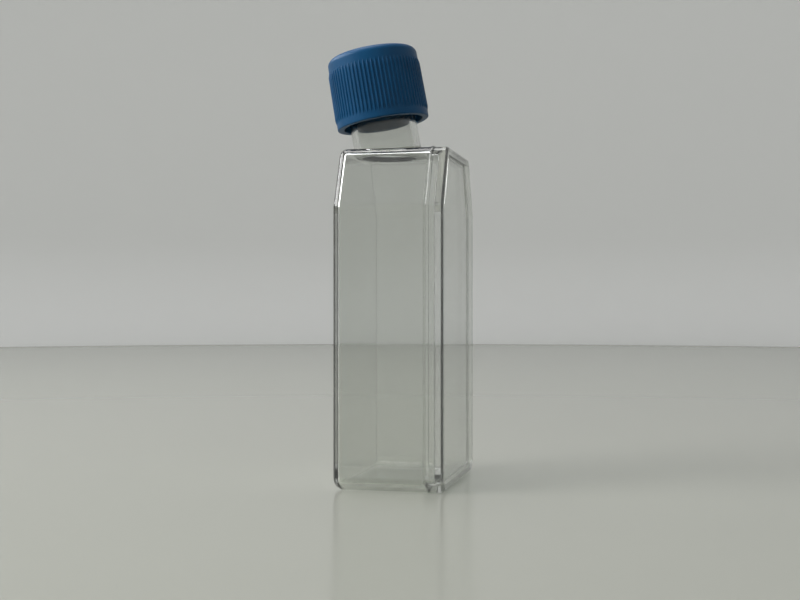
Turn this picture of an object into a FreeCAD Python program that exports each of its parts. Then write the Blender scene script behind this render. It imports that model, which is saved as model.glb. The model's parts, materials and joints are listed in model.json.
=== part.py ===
import FreeCAD, Part
import math
import os
from FreeCAD import Placement, Rotation, Vector

# A small canted-neck cell culture flask of clear polystyrene, standing on its base end.
# X is the flask's thickness: the roof is at -X and the growth plate at +X.
# Y is its width and Z runs from the base end up to the neck. Sizes are in millimetres.

# overall size of the moulded flask
thickness = 24.6            # roof to the growth plate's foot
width = 40.0                # across the two narrow sides, at the weld
straight_height = 62.0      # base end to the start of the shoulders
shoulder_height = 13.0      # start of the shoulders to the end face
end_face_width = 28.0       # what the shoulders leave of the width
side_draft = 0.5            # degrees that each narrow side leans in towards the roof

# upper shell
wall = 1.2                  # sides, roof, shoulders and end face
base_wall = 1.4             # the end that the flask stands on
base_corner_radius = 3.0
shoulder_corner_radius = 2.2
roof_edge_radius = 1.6

# growth plate, a shallow tray welded to the shell's open side
tray_depth = 3.9            # weld line to the foot
plate_thickness = 1.4       # the growth surface itself
foot_height = 0.7           # rim that keeps the growth surface off the shelf
foot_width = 1.8
bead_stand_out = 0.3        # weld bead round the joint
bead_width = 0.8
bead_edge_radius = 0.25
bead_above_base = 4.5       # the bead stops here, so that the flask stands on its base end
spigot_height = 0.7         # rib that centres the tray in the shell
spigot_thickness = 0.8
spigot_clearance = 0.1
spigot_edge_radius = 0.15
well_floor_radius = 0.35    # between the growth surface and the walls round it
foot_recess_radius = 0.25
tray_edge_radius = 0.6

# neck
cant = 10.0                 # degrees that the neck leans towards the roof
neck_outer_radius = 7.7
neck_wall = 1.5
neck_below_roof = 0.3       # between the roof's plane and the neck's upper side, at the end face
neck_length = 22.1          # end face to the mouth, along the neck's axis
neck_flare = 1.3            # how far the root spreads over the end face
neck_flare_length = 2.6
lip_radius = 0.5
seal_land_step = 0.25       # the mouth is this much wider than the bore, where the plug seals
seal_land_depth = 4.6

# thread zone: the turns stand in the gap between the neck and the cap's skirt
thread_height = 1.2
thread_clearance = 0.25

# screw cap
cap_skirt_below_mouth = 14.9
cap_skirt_wall = 1.25
cap_top_wall = 1.5
cap_above_mouth = 0.1       # running gap over the lip
cap_draft = 0.85            # degrees
cap_top_radius = 1.5
cap_rim_radius = 0.25
rib_count = 72
rib_height = 0.25
rib_width_share = 0.68      # of one pitch at the root
rib_foot = 1.5              # smooth band under the ribs
rib_head = 3.0              # smooth band over them
rib_run_out = 0.7
plug_clearance = 0.08
plug_length = 3.6
plug_wall = 0.9
plug_lead_in = 0.35

roof_x = -thickness / 2
foot_x = thickness / 2
weld_x = foot_x - tray_depth
height = straight_height + shoulder_height
growth_x = foot_x - foot_height - plate_thickness

neck_half_chord = neck_outer_radius / math.cos(math.radians(cant))
neck_root = Vector(roof_x + neck_below_roof + neck_half_chord, 0, height)
neck_place = Placement(neck_root, Rotation(Vector(0, 1, 0), -cant))

neck_bore_radius = neck_outer_radius - neck_wall
seal_land_radius = neck_bore_radius + seal_land_step
skirt_bore_radius = neck_outer_radius + thread_height + thread_clearance
cap_root_radius = skirt_bore_radius + cap_skirt_wall
cap_rim = neck_length - cap_skirt_below_mouth
cap_ceiling = neck_length + cap_above_mouth
cap_top = cap_ceiling + cap_top_wall


def inset(corners, distance):
    """Corners of a convex anticlockwise polygon with every side moved in by distance."""
    moved = []
    for here, there in zip(corners, corners[1:] + corners[:1]):
        along = (there - here).normalize()
        inward = Vector(-along.y, along.x, 0)
        moved.append((here + inward * distance, along))
    result = []
    for (p, u), (q, v) in zip(moved[-1:] + moved[:-1], moved):
        gap = q - p
        reach = (gap.x * v.y - gap.y * v.x) / (u.x * v.y - u.y * v.x)
        result.append(p + u * reach)
    return result


def outline(x, distance, base_distance, drafted):
    """Corners of the flask's outline in the plane at x, moved in by distance (out if negative)."""
    draft = math.tan(math.radians(side_draft)) * (weld_x - x) if drafted else 0
    side = width / 2 - draft
    end = end_face_width / 2 - draft
    corners = [
        Vector(-side, 0, 0),
        Vector(side, 0, 0),
        Vector(side, straight_height, 0),
        Vector(end, height, 0),
        Vector(-end, height, 0),
        Vector(-side, straight_height, 0),
    ]
    corners = inset(corners, distance)
    if base_distance is not None:
        for corner in corners[:2]:
            corner.y = base_distance
    return [Vector(x, corner.x, corner.y) for corner in corners]


def round_corners(solid, middles, radius):
    """Rounds the edges of solid whose middles are given."""
    rows = [e for e in solid.Edges if min(e.CenterOfMass.distanceToPoint(m) for m in middles) < 0.01]
    return solid.makeFillet(radius, rows)


def prism(x_from, x_to, distance=0.0, base_distance=None, drafted=False):
    """Flat-sided solid between two outlines, its two base corners and four shoulder corners rounded."""
    near, far = [outline(x, distance, base_distance, drafted) for x in (x_from, x_to)]
    rings = [far, near[::-1]]
    for i in range(len(near)):
        rings.append([near[i - 1], near[i], far[i], far[i - 1]])
    shell = Part.Shell([Part.Face(Part.makePolygon(ring + ring[:1])) for ring in rings])
    shell.sewShape()
    solid = Part.Solid(shell)
    middles = [(p + q) / 2 for p, q in zip(near, far)]
    solid = round_corners(solid, middles[:2], max(base_corner_radius - distance, 0.5))
    return round_corners(solid, middles[2:], max(shoulder_corner_radius - distance, 0.5))


def round_rim(solid, x, radius):
    """Rounds the edges of solid that lie in the plane at x."""
    box = [(edge, edge.BoundBox) for edge in solid.Edges]
    rim = [e for e, b in box if abs(b.XMin - x) < 1e-4 and abs(b.XMax - x) < 1e-4]
    return solid.makeFillet(radius, rim)


def turned(points, place):
    """Solid turned about the local Z axis from (radius, height) points, then put in place."""
    profile = [Vector(r, 0, z) for r, z in points]
    face = Part.Face(Part.makePolygon(profile + profile[:1]))
    solid = face.revolve(Vector(0, 0, 0), Vector(0, 0, 1), 360)
    solid.Placement = place
    return solid


def neck_outside():
    """The neck's outer form: a plain barrel with a rounded lip, and a flare where it leaves the body."""
    below, top, r = 4.0, neck_length, neck_outer_radius
    barrel = Part.makeCylinder(r, top + below, Vector(0, 0, -below))
    mouth = [e for e in barrel.Edges if abs(e.BoundBox.ZMin - top) < 1e-4 and e.Closed]
    barrel = barrel.makeFillet(lip_radius, mouth)
    barrel.Placement = neck_place
    foot = neck_flare_length / 2
    curve = []
    for degrees in range(0, 91, 15):
        a = math.radians(degrees)
        reach = r + neck_flare * (1 - math.sin(a))
        curve.append((reach, foot - neck_flare_length * math.cos(a)))
    flare = turned([(r - 1, curve[0][1])] + curve + [(r - 1, foot)], neck_place)
    upper_side = neck_root.x - neck_half_chord
    under_roof = Part.makeBox(thickness, width, 2 * height, Vector(upper_side, -width / 2, 0))
    return barrel.fuse(flare.common(under_roof))


def neck_inside():
    """The bore, its wider land at the mouth and the rounded inner lip."""
    start = -6.0
    land = neck_length - seal_land_depth
    top = neck_length + 1
    points = [
        (0, start),
        (neck_bore_radius, start),
        (neck_bore_radius, land - seal_land_step),
        (seal_land_radius, land),
        (seal_land_radius, neck_length - lip_radius / 2),
        (seal_land_radius + lip_radius / 2, neck_length),
        (seal_land_radius + lip_radius / 2, top),
        (0, top),
    ]
    return turned(points, neck_place)


def make_flask_body():
    outside = round_rim(prism(roof_x, weld_x, drafted=True), roof_x, roof_edge_radius)
    ceiling = roof_x + wall
    hollow = prism(ceiling, weld_x, wall, base_wall, drafted=True)
    hollow = round_rim(hollow, ceiling, max(roof_edge_radius - wall, 0.5))
    solid = outside.fuse(neck_outside()).removeSplitter()
    return solid.cut(hollow).cut(neck_inside())


def make_growth_plate():
    tray = round_rim(prism(weld_x, foot_x), foot_x, tray_edge_radius)
    bead = round_rim(prism(weld_x, weld_x + bead_width, -bead_stand_out), weld_x, bead_edge_radius)
    bead = round_rim(bead, weld_x + bead_width, bead_edge_radius)
    bead = bead.common(Part.makeBox(thickness, 2 * width, 2 * height, Vector(0, -width, bead_above_base)))
    inner = wall + spigot_clearance
    spigot = prism(weld_x - spigot_height, weld_x, inner, base_wall + spigot_clearance)
    solid = tray.fuse([bead, spigot]).removeSplitter()
    rib = inner + spigot_thickness
    well = prism(weld_x - spigot_height, growth_x, rib, base_wall + spigot_clearance + spigot_thickness)
    well = round_rim(well, growth_x, well_floor_radius)
    under = prism(foot_x - foot_height, foot_x, foot_width)
    under = round_rim(under, foot_x - foot_height, foot_recess_radius)
    return round_rim(solid.cut([well, under]), weld_x - spigot_height, spigot_edge_radius)


def ribbed_wire(root, crest, z):
    """Closed wire of rounded ribs standing on a circle of radius root, at height z."""
    pitch = 2 * math.pi / rib_count
    half = pitch * rib_width_share / 2

    def at(radius, angle):
        return Vector(radius * math.cos(angle), radius * math.sin(angle), z)

    edges = []
    for i in range(rib_count):
        middle = i * pitch
        start, end = at(root, middle - half), at(root, middle + half)
        edges.append(Part.Arc(start, at(crest, middle), end).toShape())
        edges.append(Part.makeLine(end, at(root, middle + pitch - half)))
    return Part.Wire(edges)


def cap_ribs(radius_at):
    """The ring of finger ribs, its ends run out into the smooth bands of the skirt."""
    low, high = cap_rim + rib_foot, cap_top - rib_head
    sink = 0.05
    wires = [ribbed_wire(radius_at(z) - sink, radius_at(z) + rib_height, z) for z in (low, high)]
    ring = Part.makeLoft(wires, True, True)
    bounds = [
        (0, low),
        (radius_at(low), low),
        (radius_at(low + rib_run_out) + rib_height, low + rib_run_out),
        (radius_at(high - rib_run_out) + rib_height, high - rib_run_out),
        (radius_at(high), high),
        (0, high),
    ]
    return ring.common(turned(bounds, Placement()))


def make_screw_cap():
    lean = math.tan(math.radians(cap_draft))

    def radius_at(z):
        return cap_root_radius + (cap_top - z) * lean

    outer = [(0, cap_rim), (radius_at(cap_rim), cap_rim), (radius_at(cap_top), cap_top), (0, cap_top)]
    cup = turned(outer, Placement())
    crown = [e for e in cup.Edges if e.Closed and abs(e.BoundBox.ZMin - cap_top) < 1e-4]
    cup = cup.makeFillet(cap_top_radius, crown)
    hollow = Part.makeCylinder(skirt_bore_radius, cap_ceiling - cap_rim, Vector(0, 0, cap_rim))
    cup = cup.fuse(cap_ribs(radius_at)).cut(hollow)
    rim = [e for e in cup.Edges if e.Closed and abs(e.BoundBox.ZMax - cap_rim) < 1e-4]
    cup = cup.makeFillet(cap_rim_radius, rim)
    plug_radius = seal_land_radius - plug_clearance
    tip = cap_ceiling - plug_length
    plug = [
        (plug_radius - plug_wall, cap_ceiling + 0.2),
        (plug_radius - plug_wall, tip),
        (plug_radius - plug_lead_in, tip),
        (plug_radius, tip + 2 * plug_lead_in),
        (plug_radius, cap_ceiling + 0.2),
    ]
    cup = cup.fuse(turned(plug, Placement())).removeSplitter()
    cup.Placement = neck_place
    return cup


makers = {
    "flask_body": make_flask_body,
    "growth_plate": make_growth_plate,
    "screw_cap": make_screw_cap,
}

os.makedirs("parts", exist_ok=True)
for name, make in makers.items():
    shape = make()
    if not shape.isValid() or len(shape.Solids) != 1:
        raise ValueError(f"{name} came out as {len(shape.Solids)} solids, valid: {shape.isValid()}")
    shape.exportStep(f"parts/{name}.step")
    print(f"{name}: {shape.Volume / 1000:.2f} cm3, {len(shape.Faces)} faces")
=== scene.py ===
import bmesh
import bpy
import json
import math
from mathutils import Matrix, Vector, noise

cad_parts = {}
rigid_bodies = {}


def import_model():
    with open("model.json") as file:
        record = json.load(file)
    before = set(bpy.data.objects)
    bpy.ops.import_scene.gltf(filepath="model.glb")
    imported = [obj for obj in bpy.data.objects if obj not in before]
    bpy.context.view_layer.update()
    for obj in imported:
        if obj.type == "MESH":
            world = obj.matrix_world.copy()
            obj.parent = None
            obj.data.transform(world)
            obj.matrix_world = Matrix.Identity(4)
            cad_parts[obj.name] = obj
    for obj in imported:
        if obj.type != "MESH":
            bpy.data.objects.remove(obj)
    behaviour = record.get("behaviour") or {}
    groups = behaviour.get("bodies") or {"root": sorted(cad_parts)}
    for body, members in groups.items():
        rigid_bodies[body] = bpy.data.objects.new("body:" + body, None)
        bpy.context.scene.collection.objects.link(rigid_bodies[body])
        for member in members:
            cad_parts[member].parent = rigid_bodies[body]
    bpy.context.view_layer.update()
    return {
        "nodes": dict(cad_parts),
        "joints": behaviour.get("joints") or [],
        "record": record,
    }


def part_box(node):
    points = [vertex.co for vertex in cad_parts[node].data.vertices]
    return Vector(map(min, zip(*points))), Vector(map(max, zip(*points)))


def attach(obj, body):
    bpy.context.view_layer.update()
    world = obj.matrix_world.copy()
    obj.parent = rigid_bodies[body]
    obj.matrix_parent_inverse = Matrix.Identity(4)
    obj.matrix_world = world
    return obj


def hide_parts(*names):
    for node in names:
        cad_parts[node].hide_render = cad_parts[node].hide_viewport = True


# A small canted-neck culture flask of clear polystyrene with a ribbed blue screw cap.
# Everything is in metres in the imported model's own axes: the roof at -X, the growth plate
# at +X, the base end at Z = 0.

for leftover in list(bpy.data.objects):
    bpy.data.objects.remove(leftover)

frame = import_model()
mm = 0.001
print("frame loaded:", ", ".join(frame["nodes"]))


# places taken from the frame
neckAxis = Vector(frame["joints"][0]["axis"])
boreMount = next(m for m in frame["record"]["mounts"] if m["name"] == "neck_bore")

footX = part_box("growth_plate")[1].x     # foot of the growth plate
roofX = -footX                          # the origin is half way through the thickness
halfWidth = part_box("flask_body")[1].y

meshing = {
    "join": 0.001 * mm,         # ring points nearer than this become one
    "joinAfterCut": 0.004 * mm,
    "sliver": 0.002 * mm,       # faces thinner than this go after a cut
    "flatWeight": 60,           # how strongly the large faces hold the normals
}


def meshFromRings(name, rings):
    # every ring has as many points as the next, and both ends are closed by a flat face
    bm = bmesh.new()
    loops = [[bm.verts.new(p) for p in ring] for ring in rings]
    for near, far in zip(loops, loops[1:]):
        for i in range(len(near)):
            bm.faces.new((near[i - 1], near[i], far[i], far[i - 1]))
    bm.faces.new(loops[0])
    bm.faces.new(loops[-1])
    bmesh.ops.remove_doubles(bm, verts=bm.verts, dist=meshing["join"])
    bmesh.ops.recalc_face_normals(bm, faces=bm.faces)
    mesh = bpy.data.meshes.new(name)
    bm.to_mesh(mesh)
    bm.free()
    piece = bpy.data.objects.new(name, mesh)
    bpy.context.scene.collection.objects.link(piece)
    return piece


def bake(piece):
    # the modifiers' result becomes the piece's own mesh
    bpy.context.view_layer.update()
    solved = piece.evaluated_get(bpy.context.evaluated_depsgraph_get())
    mesh = bpy.data.meshes.new_from_object(solved)
    piece.modifiers.clear()
    piece.data = mesh
    mesh.name = piece.name


def combine(piece, tool, operation):
    step = piece.modifiers.new(operation.lower(), "BOOLEAN")
    step.operation = operation
    step.solver = "EXACT"
    step.object = tool
    bake(piece)
    bpy.data.objects.remove(tool)

    # close the slivers that a cut leaves where two faces almost meet
    bm = bmesh.new()
    bm.from_mesh(piece.data)
    bmesh.ops.remove_doubles(bm, verts=bm.verts, dist=meshing["joinAfterCut"])
    bmesh.ops.dissolve_degenerate(bm, edges=bm.edges, dist=meshing["sliver"])
    bm.to_mesh(piece.data)
    bm.free()


def polish(piece, sharpDegrees):
    # smooth over the rounds while the flats keep their own normals
    mesh = piece.data
    mesh.shade_smooth()
    mesh.set_sharp_from_angle(angle=math.radians(sharpDegrees))
    step = piece.modifiers.new("flats", "WEIGHTED_NORMAL")
    step.mode = "FACE_AREA"
    step.weight = meshing["flatWeight"]
    step.keep_sharp = True
    bake(piece)


def arc(start, end, steps):
    # angles from start to end in degrees, both included
    return [math.radians(start + (end - start) * i / steps) for i in range(steps + 1)]


def ease(t):
    t = min(max(t, 0.0), 1.0)
    return t * t * (3 - 2 * t)


# the flask's outline, which the shell and the growth plate share
outline = {
    "straight": 62.0 * mm,          # base end to the shoulders
    "height": 75.0 * mm,            # base end to the end face
    "endFace": 28.0 * mm,           # width left by the shoulders
    "draft": math.radians(0.5),     # the narrow sides lean in towards the roof
    "weldX": footX - 3.9 * mm,
    "baseCorner": 3.0 * mm,
    "shoulderCorner": 2.2 * mm,
    "leastCorner": 0.5 * mm,
    "baseExtra": 0.2 * mm,          # the base wall is this much thicker than the others
    "arcSteps": 9,
    "runs": (16, 28, 6, 12, 6, 28), # divisions of the straight stretches, from the base round
}


def outlineRing(x, inset=0.0):
    # points round the outline in the plane at x, moved in by inset. The first two corners are the base's
    o = outline
    lean = math.tan(o["draft"]) * max(o["weldX"] - x, 0.0)
    side, end = halfWidth - lean, o["endFace"] / 2 - lean
    corners = [Vector((-side, 0)), Vector((side, 0)), Vector((side, o["straight"])),
               Vector((end, o["height"])), Vector((-end, o["height"])), Vector((-side, o["straight"]))]
    lines = []
    for here, there in zip(corners, corners[1:] + corners[:1]):
        along = (there - here).normalized()
        lines.append((here + Vector((-along.y, along.x)) * inset, along))
    if inset > 0:
        lines[0][0].y += o["baseExtra"]
    moved = []
    for (p, u), (q, v) in zip(lines[-1:] + lines[:-1], lines):
        gap = q - p
        moved.append(p + u * ((gap.x * v.y - gap.y * v.x) / (u.x * v.y - u.y * v.x)))

    arcs = []
    for i, corner in enumerate(moved):
        radius = max((o["baseCorner"] if i < 2 else o["shoulderCorner"]) - inset, o["leastCorner"])
        back = (moved[i - 1] - corner).normalized()
        onward = (moved[(i + 1) % len(moved)] - corner).normalized()
        half = back.angle(onward) / 2
        centre = corner + (back + onward).normalized() * (radius / math.sin(half))
        start = (corner + back * (radius / math.tan(half))) - centre
        turn = math.pi - 2 * half
        arcs.append([centre + Matrix.Rotation(turn * k / o["arcSteps"], 2) @ start
                     for k in range(o["arcSteps"] + 1)])

    ring = []
    for i, bend in enumerate(arcs):
        ring += bend
        ahead = arcs[(i + 1) % len(arcs)][0]
        ring += [bend[-1].lerp(ahead, k / o["runs"][i]) for k in range(1, o["runs"][i])]
    return [Vector((x, p.x, p.y)) for p in ring]


# the neck's own axes: z runs up the neck from the end face
endFaceZ = outline["height"]
boreAt = Vector(boreMount["pos_m"])
neckRoot = boreAt + neckAxis * ((endFaceZ - boreAt.z) / neckAxis.z)
neckPlace = Matrix.Translation(neckRoot) @ Matrix.Rotation(math.atan2(neckAxis.x, neckAxis.z), 4, "Y")
roundSteps = 144


def turnedRing(radius, height, swell=None):
    # one ring round the neck's axis. swell(angle, height) adds to the radius
    ring = []
    for i in range(roundSteps):
        angle = 2 * math.pi * i / roundSteps
        reach = radius + (swell(angle, height) if swell else 0.0)
        ring.append(neckPlace @ Vector((reach * math.cos(angle), reach * math.sin(angle), height)))
    return ring


thread = {
    "height": 1.15 * mm,
    "pitch": 3.4 * mm,
    "first": 11.2 * mm,         # where the neck's thread starts, above the end face
    "turns": 1.75,
    "foot": 0.85 * mm,          # half widths at the root and at the crest
    "crest": 0.3 * mm,
    "runOut": math.radians(35),
}


def threadSwell(angle, height, lift):
    # how far a right-handed thread stands out at this place. lift moves it along the axis
    t = thread
    total = 0.0
    for turn in range(math.ceil(t["turns"])):
        travelled = angle + 2 * math.pi * turn
        length = t["turns"] * 2 * math.pi
        if travelled > length:
            continue
        middle = t["first"] + lift + t["pitch"] * travelled / (2 * math.pi)
        flank = (t["foot"] - abs(height - middle)) / (t["foot"] - t["crest"])
        ends = min(travelled, length - travelled) / t["runOut"]
        total = max(total, ease(flank) * ease(ends))
    return total * t["height"]


shell = {
    "wall": 1.2 * mm,
    "roofEdge": 1.6 * mm,
    "roofEdgeInside": 0.5 * mm,
    "edgeSteps": 7,
    "sideDivisions": 8,
    "overcut": 1 * mm,          # the hollow runs this far past the weld
    "sharp": 32,                # edges that bend more than this many degrees stay crisp
    "clearness": 0.985,
}

neck = {
    "radius": 7.7 * mm,
    "bore": boreMount["dims"]["r_mm"] * mm,
    "length": 22.1 * mm,
    "lip": 0.5 * mm,
    "land": 0.25 * mm,          # the mouth is this much wider than the bore
    "landDepth": 4.6 * mm,
    "flare": 1.3 * mm,
    "flareLength": 2.6 * mm,
    "flareSteps": 16,
    "roofFade": 0.45,           # the flare fades from this far round towards the roof, as a cosine
    "threadStep": 0.14 * mm,
    "threadStop": 0.5 * mm,     # plain wall between the thread's rings and the lip
    "lipSteps": 6,
    "mouthSteps": 5,
    "below": 4.0 * mm,          # runs on inside the body, where the chamber cuts it off
    "boreBelow": 6.0 * mm,
    "boreAbove": 1.0 * mm,
}


def bodyRings(fromX, ceilingX, inset, edge):
    rings = []
    flatEnd = ceilingX + edge
    for i in range(shell["sideDivisions"] + 1):
        rings.append(outlineRing(fromX + (flatEnd - fromX) * i / shell["sideDivisions"], inset))
    for a in arc(0, 90, shell["edgeSteps"])[1:]:
        rings.append(outlineRing(flatEnd - edge * math.sin(a), inset + edge * (1 - math.cos(a))))
    return rings


def neckFlare(angle, height):
    # the root spreads over the end face, and dies out where it meets the roof
    half = neck["flareLength"] / 2
    if height > half:
        return 0.0
    t = min((half - height) / neck["flareLength"], 1.0)
    towardsRoof = ease((-math.cos(angle) - neck["roofFade"]) / neck["roofFade"])
    return neck["flare"] * (1 - math.sqrt(max(1 - t * t, 0.0))) * (1 - towardsRoof)


def makeFlask(material):
    piece = meshFromRings("clearShell", bodyRings(outline["weldX"], roofX, 0.0, shell["roofEdge"]))

    n = neck
    rings = [turnedRing(n["radius"], -n["below"], neckFlare)]
    for i in range(n["flareSteps"] + 1):
        height = n["flareLength"] * (i / n["flareSteps"] - 0.5)
        rings.append(turnedRing(n["radius"], height, neckFlare))
    threadFrom = thread["first"] - thread["pitch"] / 2
    threadTo = n["length"] - n["lip"] - n["threadStop"]
    count = round((threadTo - threadFrom) / n["threadStep"])
    for i in range(count + 1):
        height = threadFrom + (threadTo - threadFrom) * i / count
        rings.append(turnedRing(n["radius"], height, lambda a, h: threadSwell(a, h, 0.0)))
    for a in arc(0, 90, n["lipSteps"]):
        rings.append(turnedRing(n["radius"] - n["lip"] * (1 - math.cos(a)),
                                n["length"] - n["lip"] * (1 - math.sin(a))))
    combine(piece, meshFromRings("neck", rings), "UNION")

    hollow = bodyRings(outline["weldX"] + shell["overcut"], roofX + shell["wall"],
                       shell["wall"], shell["roofEdgeInside"])
    combine(piece, meshFromRings("hollow", hollow), "DIFFERENCE")

    landAt = n["length"] - n["landDepth"]
    wide = n["bore"] + n["land"]
    soft = n["lip"] / 2
    bore = [(n["bore"], -n["boreBelow"]), (n["bore"], landAt - n["land"]), (wide, landAt)]
    for a in arc(0, 90, n["mouthSteps"]):
        bore.append((wide + soft * (1 - math.cos(a)), n["length"] - soft * (1 - math.sin(a))))
    bore.append((wide + soft, n["length"] + n["boreAbove"]))
    combine(piece, meshFromRings("bore", [turnedRing(r, h) for r, h in bore]), "DIFFERENCE")

    polish(piece, shell["sharp"])
    piece.data.materials.clear()
    piece.data.materials.append(material)
    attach(piece, "flask")
    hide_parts("flask_body")
    print("clear shell:", len(piece.data.polygons), "faces")


tray = {
    "plate": 1.4 * mm,
    "footHeight": 0.7 * mm,
    "footWidth": 1.8 * mm,
    "edge": 0.6 * mm,
    "spigotHeight": 0.7 * mm,
    "spigotIn": 1.3 * mm,       # outside and inside of the rib that centres the tray
    "ribIn": 2.1 * mm,
    "fillet": 0.35 * mm,
    "nip": 0.12 * mm,           # small rounds on the foot and the rib
    "weldGap": 0.02 * mm,
    "bead": 0.3 * mm,
    "beadWidth": 0.8 * mm,
    "beadFrom": 4.5 * mm,       # above the base end
    "beadFade": 1.2 * mm,
    "beadWaves": 160,           # in a metre of weld
    "beadUneven": 0.07,
    "beadFullness": 0.6,        # below 1 the bead stands fuller than half a sine wave
    "beadSteps": 8,
    "filletSteps": 5,
    "nipSteps": 3,
    "edgeSteps": 6,
    "underSteps": 4,
    "sharp": 32,
    "clearness": 0.95,
}


def beadAmount(point):
    # the weld squeezes out a little unevenly, and stops short of the base end
    rise = ease((point.z - tray["beadFrom"]) / tray["beadFade"])
    fullness = 1 - tray["beadUneven"] * (1 - noise.noise(point * tray["beadWaves"]))
    return tray["bead"] * rise * min(fullness, 1.0)


def makeGrowthPlate(material):
    t = tray
    weld = outline["weldX"] + t["weldGap"]
    growthX = footX - t["footHeight"] - t["plate"]
    underX = footX - t["footHeight"]
    tip = outline["weldX"] - t["spigotHeight"]
    f, nip, edge = t["fillet"], t["nip"], t["edge"]

    rings = []
    for a in arc(0, 90, t["filletSteps"]):
        rings.append(outlineRing(growthX - f * (1 - math.cos(a)), t["ribIn"] + f * (1 - math.sin(a))))
    for a in arc(0, 90, t["nipSteps"]):
        rings.append(outlineRing(tip + nip * (1 - math.sin(a)), t["ribIn"] - nip * (1 - math.cos(a))))
    for a in arc(90, 0, t["nipSteps"]):
        rings.append(outlineRing(tip + nip * (1 - math.sin(a)), t["spigotIn"] + nip * (1 - math.cos(a))))
    rings.append(outlineRing(weld, t["spigotIn"]))
    for a in arc(0, 180, t["beadSteps"]):
        x = weld + (t["beadWidth"] - t["weldGap"]) * (1 - math.cos(a)) / 2
        bulge = math.sin(a) ** t["beadFullness"]
        flat, proud = outlineRing(x), outlineRing(x, -mm)      # proud shows which way is out
        rings.append([p + (q - p) * (beadAmount(p) * bulge / mm) for p, q in zip(flat, proud)])
    for a in arc(0, 90, t["edgeSteps"]):
        rings.append(outlineRing(footX - edge * (1 - math.sin(a)), edge * (1 - math.cos(a))))
    for a in arc(0, 90, t["nipSteps"]):
        rings.append(outlineRing(footX - nip * (1 - math.cos(a)),
                                 t["footWidth"] - nip * (1 - math.sin(a))))
    for a in arc(0, 90, t["underSteps"]):
        rings.append(outlineRing(underX + nip * (1 - math.sin(a)),
                                 t["footWidth"] + nip * (1 - math.cos(a))))

    piece = meshFromRings("growthPlate", rings)
    polish(piece, t["sharp"])
    piece.data.materials.append(material)
    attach(piece, "flask")
    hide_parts("growth_plate")
    print("growth plate:", len(piece.data.polygons), "faces")


cap = {
    "rim": neck["length"] - 14.9 * mm,
    "ceiling": neck["length"] + 0.1 * mm,
    "top": neck["length"] + 1.6 * mm,
    "bore": 9.15 * mm,
    "radius": 10.4 * mm,        # at the top, between the ribs
    "draft": math.tan(math.radians(0.85)),
    "crown": 1.5 * mm,
    "rimEdge": 0.3 * mm,
    "plugRadius": 6.37 * mm,
    "plugWall": 0.9 * mm,
    "plugLength": 3.6 * mm,
    "plugLead": 0.35 * mm,
    "threadStop": 0.8 * mm,     # plain wall between the thread's rings and the ceiling
    "crownSteps": 8,
    "skirtSteps": 8,
    "rimSteps": 4,
    "innerRimSteps": 3,
    "sharp": 38,
}

ribs = {
    "count": 72,
    "height": 0.25 * mm,
    "halfWidth": 0.31 * mm,
    "foot": 1.5 * mm,           # smooth band under them
    "head": 3.0 * mm,           # smooth band over them
    "runOut": 0.7 * mm,
    "endSwell": 0.25,           # share of the full section at each end
    "divisions": 14,
    "sides": 10,
}


def capRadius(height):
    return cap["radius"] + (cap["top"] - height) * cap["draft"]


def makeCap(material):
    c = cap
    crown, edge = c["crown"], c["rimEdge"]
    profile = []
    for a in arc(90, 0, c["crownSteps"]):
        height = c["top"] - crown * (1 - math.sin(a))
        profile.append((capRadius(c["top"]) - crown * (1 - math.cos(a)), height))
    skirtFrom, skirtTo = c["top"] - crown, c["rim"] + edge
    for i in range(1, c["skirtSteps"] + 1):
        height = skirtFrom + (skirtTo - skirtFrom) * i / c["skirtSteps"]
        profile.append((capRadius(height), height))
    for a in arc(0, 90, c["rimSteps"])[1:]:
        height = c["rim"] + edge * (1 - math.sin(a))
        profile.append((capRadius(c["rim"]) - edge * (1 - math.cos(a)), height))
    for a in arc(90, 0, c["innerRimSteps"]):
        height = c["rim"] + edge / 2 * (1 - math.sin(a))
        profile.append((c["bore"] + edge / 2 * (1 - math.cos(a)), height))
    rings = [turnedRing(r, h) for r, h in profile]

    halfPitch = thread["pitch"] / 2
    threadFrom, threadTo = thread["first"] - thread["pitch"], c["ceiling"] - c["threadStop"]
    count = round((threadTo - threadFrom) / neck["threadStep"])
    for i in range(count + 1):
        height = threadFrom + (threadTo - threadFrom) * i / count
        rings.append(turnedRing(c["bore"], height, lambda a, h: -threadSwell(a, h, -halfPitch)))

    plug, tip = c["plugRadius"], c["ceiling"] - c["plugLength"]
    inner = plug - c["plugWall"]
    profile = [(c["bore"], c["ceiling"]), (plug, c["ceiling"]), (plug, tip + 2 * c["plugLead"]),
               (plug - c["plugLead"], tip), (inner, tip), (inner, c["ceiling"])]
    rings += [turnedRing(r, h) for r, h in profile]

    piece = meshFromRings("screwCap", rings)
    polish(piece, c["sharp"])
    piece.data.materials.append(material)
    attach(piece, "cap")
    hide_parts("screw_cap")
    print("screw cap:", len(piece.data.polygons), "faces")


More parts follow.
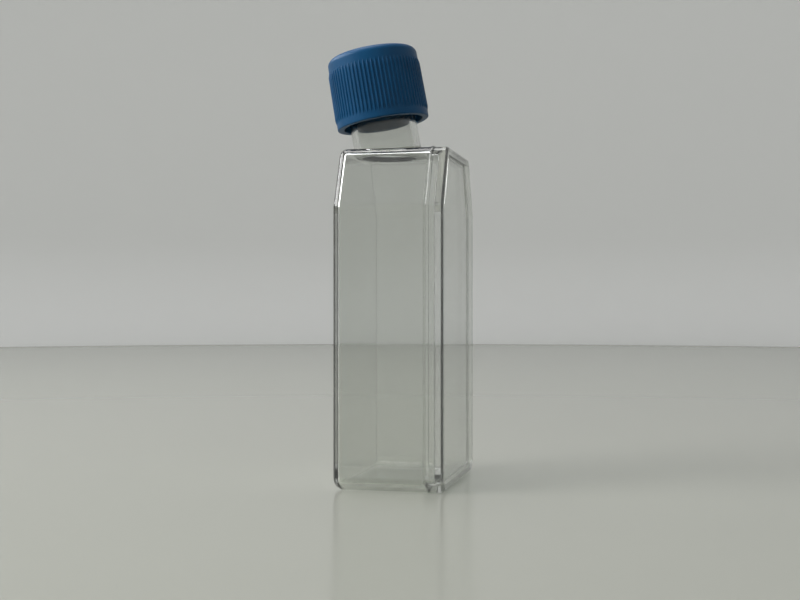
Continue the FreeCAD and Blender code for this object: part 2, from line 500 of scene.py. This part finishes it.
def ribTree(material):
    # one finger rib swept up the skirt, then set round the cap
    tree = bpy.data.node_groups.new("capRibRing", "GeometryNodeTree")
    tree.interface.new_socket("Geometry", in_out="OUTPUT", socket_type="NodeSocketGeometry")
    sockets = {}
    kinds = {"Count": "Int", "Foot": "Vector", "Head": "Vector", "Half Width": "Float", "Run Out": "Float",
             "End Swell": "Float", "Divisions": "Int", "Sides": "Int", "Material": "Material"}
    for name, kind in kinds.items():
        socket = tree.interface.new_socket(name, in_out="INPUT", socket_type="NodeSocket" + kind)
        sockets[name] = socket.identifier

    def add(kind, **inputs):
        node = tree.nodes.new(kind)
        for name, value in inputs.items():
            socket = node.inputs[name.replace("_", " ")]
            if isinstance(value, bpy.types.NodeSocket):
                tree.links.new(value, socket)
            else:
                socket.default_value = value
        return node

    def maths(operation, first, second):
        node = tree.nodes.new("ShaderNodeMath")
        node.operation = operation
        for socket, value in zip(node.inputs, (first, second)):
            if isinstance(value, bpy.types.NodeSocket):
                tree.links.new(value, socket)
            else:
                socket.default_value = value
        return node.outputs[0]

    given = tree.nodes.new("NodeGroupInput").outputs
    spine = add("GeometryNodeCurvePrimitiveLine", Start=given["Foot"], End=given["Head"]).outputs[0]
    spine = add("GeometryNodeResampleCurve", Curve=spine, Count=given["Divisions"]).outputs[0]
    along = tree.nodes.new("GeometryNodeSplineParameter").outputs["Factor"]
    nearEnd = maths("MINIMUM", along, maths("SUBTRACT", 1.0, along))
    rise = maths("DIVIDE", nearEnd, given["Run Out"])
    swell = add("ShaderNodeMapRange", Value=rise, To_Min=given["End Swell"])
    swell.interpolation_type = "SMOOTHSTEP"
    spine = add("GeometryNodeSetCurveRadius", Curve=spine, Radius=swell.outputs[0]).outputs[0]
    section = add("GeometryNodeCurvePrimitiveCircle", Resolution=given["Sides"],
                  Radius=given["Half Width"])
    rib = add("GeometryNodeCurveToMesh", Curve=spine, Profile_Curve=section.outputs[0], Fill_Caps=True,
              Scale=swell.outputs[0]).outputs[0]
    middles = add("GeometryNodePoints", Count=given["Count"]).outputs[0]
    place = tree.nodes.new("GeometryNodeInputIndex").outputs[0]
    turn = maths("DIVIDE", maths("MULTIPLY", place, 2 * math.pi), given["Count"])
    spin = add("ShaderNodeCombineXYZ", Z=turn).outputs[0]
    spread = add("GeometryNodeInstanceOnPoints", Points=middles, Instance=rib, Rotation=spin).outputs[0]
    solid = add("GeometryNodeRealizeInstances", Geometry=spread).outputs[0]
    smooth = add("GeometryNodeSetShadeSmooth", Geometry=solid).outputs[0]
    dressed = add("GeometryNodeSetMaterial", Geometry=smooth, Material=given["Material"]).outputs[0]
    result = tree.nodes.new("NodeGroupOutput")
    tree.links.new(dressed, result.inputs[0])

    low, high = cap["rim"] + ribs["foot"], cap["top"] - ribs["head"]
    middle = ribs["height"] - ribs["halfWidth"]     # how far a rib's middle lies outside the wall
    values = {
        "Count": ribs["count"],
        "Foot": (capRadius(low) + middle, 0.0, low),
        "Head": (capRadius(high) + middle, 0.0, high),
        "Half Width": ribs["halfWidth"],
        "Run Out": ribs["runOut"] / (high - low),
        "End Swell": ribs["endSwell"],
        "Divisions": ribs["divisions"],
        "Sides": ribs["sides"],
        "Material": material,
    }
    return tree, {sockets[name]: value for name, value in values.items()}


def makeRibs(material):
    piece = bpy.data.objects.new("capRibs", bpy.data.meshes.new("capRibs"))
    bpy.context.scene.collection.objects.link(piece)
    tree, values = ribTree(material)
    step = piece.modifiers.new("ribs", "NODES")
    step.node_group = tree
    for identifier, value in values.items():
        step[identifier] = value
    bake(piece)
    piece.data.transform(neckPlace)
    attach(piece, "cap")
    print("cap ribs:", len(piece.data.polygons), "faces")


def newMaterial(name):
    material = bpy.data.materials.new(name)
    material.use_nodes = True
    return material, material.node_tree, material.node_tree.nodes["Principled BSDF"]


def fill(node, values):
    for name, value in values.items():
        node.inputs[name].default_value = value


def addNode(tree, kind, values, coords=None):
    node = tree.nodes.new(kind)
    fill(node, values)
    if coords:
        tree.links.new(coords, node.inputs["Vector"])
    return node


polystyrene = {
    "surface": {"Base Color": (0.850, 0.862, 0.838, 1), "IOR": 1.59, "Roughness": 0.03},
    "sway": {"Scale": 55, "Detail": 1.5},       # slow waves that the moulding leaves in flat walls
    "swayBump": {"Strength": 0.35, "Distance": 0.06 * mm},
    "shade": {"Color": (0.76, 0.77, 0.77, 1)},  # what a lamp loses on its way through
}


def clearPolystyrene(name, clearness):
    material, tree, surface = newMaterial(name)
    link = tree.links.new
    fill(surface, polystyrene["surface"])
    surface.inputs["Transmission Weight"].default_value = clearness

    coords = tree.nodes.new("ShaderNodeTexCoord").outputs["Object"]
    sway = addNode(tree, "ShaderNodeTexNoise", polystyrene["sway"], coords)
    bump = addNode(tree, "ShaderNodeBump", polystyrene["swayBump"])
    link(sway.outputs["Fac"], bump.inputs["Height"])
    link(bump.outputs["Normal"], surface.inputs["Normal"])

    # lamps reach what is behind the plastic
    through = addNode(tree, "ShaderNodeBsdfTransparent", polystyrene["shade"])
    path = tree.nodes.new("ShaderNodeLightPath")
    mix = tree.nodes.new("ShaderNodeMixShader")
    link(path.outputs["Is Shadow Ray"], mix.inputs[0])
    link(surface.outputs[0], mix.inputs[1])
    link(through.outputs[0], mix.inputs[2])
    link(mix.outputs[0], tree.nodes["Material Output"].inputs["Surface"])
    return material


polyethylene = {
    "surface": {
        "Specular IOR Level": 0.23,
        "Subsurface Weight": 0.08,
        "Subsurface Radius": (0.3, 0.6, 1.0),
        "Subsurface Scale": 0.5 * mm,
    },
    "cloud": {"Scale": 140, "Detail": 3},       # pigment that isn't mixed in quite evenly
    "shades": {0.3: (0.001, 0.052, 0.138, 1), 0.7: (0.002, 0.064, 0.166, 1)},
    "grain": {"Scale": 2600, "Detail": 2},      # fine sparked finish of the mould
    "gloss": {"To Min": 0.36, "To Max": 0.48},
    "grainBump": {"Strength": 0.25, "Distance": 0.02 * mm},
}


def bluePolyethylene():
    material, tree, surface = newMaterial("bluePolyethylene")
    link = tree.links.new
    fill(surface, polyethylene["surface"])
    coords = tree.nodes.new("ShaderNodeTexCoord").outputs["Object"]

    cloud = addNode(tree, "ShaderNodeTexNoise", polyethylene["cloud"], coords)
    shades = tree.nodes.new("ShaderNodeValToRGB")
    for stop, (position, colour) in zip(shades.color_ramp.elements, polyethylene["shades"].items()):
        stop.position = position
        stop.color = colour
    link(cloud.outputs["Fac"], shades.inputs["Fac"])
    link(shades.outputs["Color"], surface.inputs["Base Color"])

    grain = addNode(tree, "ShaderNodeTexNoise", polyethylene["grain"], coords)
    gloss = addNode(tree, "ShaderNodeMapRange", polyethylene["gloss"])
    link(grain.outputs["Fac"], gloss.inputs["Value"])
    link(gloss.outputs["Result"], surface.inputs["Roughness"])
    bump = addNode(tree, "ShaderNodeBump", polyethylene["grainBump"])
    link(grain.outputs["Fac"], bump.inputs["Height"])
    link(bump.outputs["Normal"], surface.inputs["Normal"])
    return material


setting = {
    "radius": 0.95,             # round room: a floor that curves up into a wall
    "floorRings": (0.3, 0.6, 0.845),    # the last one keeps the floor's shading flat up to the cove
    "cove": 0.1,
    "coveSteps": 12,
    "wall": 1.0,
    "steps": 96,
    "wallFrom": 0.99,           # the wall's colour starts at this share of the cove, from the wall
    "paints": {
        "paleTop": {"Base Color": (0.352, 0.358, 0.316, 1), "Roughness": 0.17, "Specular IOR Level": 0.25},
        "paleWall": {"Base Color": (0.66, 0.665, 0.65, 1), "Roughness": 0.8, "Specular IOR Level": 0.2},
    },
}


def makeSetting():
    r, cove, steps = setting["radius"], setting["cove"], setting["steps"]
    profile = [(reach, 0.0) for reach in setting["floorRings"]]
    for a in arc(0, 90, setting["coveSteps"]):
        profile.append((r - cove * (1 - math.sin(a)), cove * (1 - math.cos(a))))
    profile.append((r, setting["wall"]))
    angles = [2 * math.pi * i / steps for i in range(steps)]
    bm = bmesh.new()
    loops = []
    for reach, height in profile:
        loops.append([bm.verts.new((reach * math.cos(a), reach * math.sin(a), height)) for a in angles])
    bm.faces.new(loops[0])
    for near, far in zip(loops, loops[1:]):
        for i in range(steps):
            side = bm.faces.new((near[i], near[i - 1], far[i - 1], far[i]))
            side.material_index = int(near[0].co.x > r - cove * setting["wallFrom"])
    room = bpy.data.meshes.new("paleRoom")
    bm.to_mesh(room)
    bm.free()
    room.shade_smooth()
    for name, values in setting["paints"].items():
        material, tree, surface = newMaterial(name)
        fill(surface, values)
        room.materials.append(material)
    piece = bpy.data.objects.new("paleRoom", room)
    bpy.context.scene.collection.objects.link(piece)
    print("setting:", ", ".join(setting["paints"]))


lamps = {
    # name: place, what it points at, width and height, power,
    # whether it lights rough surfaces, and whether shiny and clear ones mirror it
    "key": ((-0.53, -0.3, 0.51), (0, 0, 0.06), (0.5, 0.3), 4.0, True, False),
    "window": ((-0.62, -0.08, 0.46), (0, 0, 0.06), (0.9, 0.34), 5.5, False, True),
    "overhead": ((-0.2, 0.05, 0.8), (0, 0, 0.04), (0.5, 0.45), 3.0, True, True),
    "left": ((-0.62, -0.4, 0.35), (0, 0, 0.05), (0.2, 0.45), 1.4, True, False),
}

sky = {"Color": (0.62, 0.63, 0.65, 1), "Strength": 0.62}


def makeLight():
    for name, (place, target, size, power, lights, mirrored) in lamps.items():
        lamp = bpy.data.lights.new(name, "AREA")
        lamp.shape = "RECTANGLE"
        lamp.size, lamp.size_y = size
        lamp.energy = power
        piece = bpy.data.objects.new(name, lamp)
        piece.location = place
        piece.rotation_euler = (Vector(target) - Vector(place)).to_track_quat("-Z", "Y").to_euler()
        piece.visible_camera = False
        piece.visible_diffuse = lights
        piece.visible_glossy = piece.visible_transmission = mirrored
        bpy.context.scene.collection.objects.link(piece)
    world = bpy.data.worlds.new("room")
    bpy.context.scene.world = world
    world.use_nodes = True
    fill(world.node_tree.nodes["Background"], sky)
    print("light:", ", ".join(lamps))


camera = {
    "azimuth": math.radians(12.5),
    "distance": 0.287,
    "height": 0.0415,
    "lens": 56,
    "nearest": 0.01,
    "aim": Vector((-0.0015, 0.0, 0.0)),
}


def makeCamera():
    c = camera
    lens = bpy.data.cameras.new("camera")
    lens.lens = c["lens"]
    lens.clip_start = c["nearest"]
    piece = bpy.data.objects.new("camera", lens)
    back = Vector((math.sin(c["azimuth"]), -math.cos(c["azimuth"]), 0))
    piece.location = c["aim"] + back * c["distance"] + Vector((0, 0, c["height"]))
    piece.rotation_euler = (math.pi / 2, 0, c["azimuth"])     # level
    bpy.context.scene.collection.objects.link(piece)
    bpy.context.scene.camera = piece


makeCamera()
blue = bluePolyethylene()
makeFlask(clearPolystyrene("clearPolystyrene", shell["clearness"]))
makeGrowthPlate(clearPolystyrene("weldedPolystyrene", tray["clearness"]))
makeCap(blue)
makeRibs(blue)
makeSetting()
makeLight()
bpy.context.scene.view_settings.view_transform = "Standard"
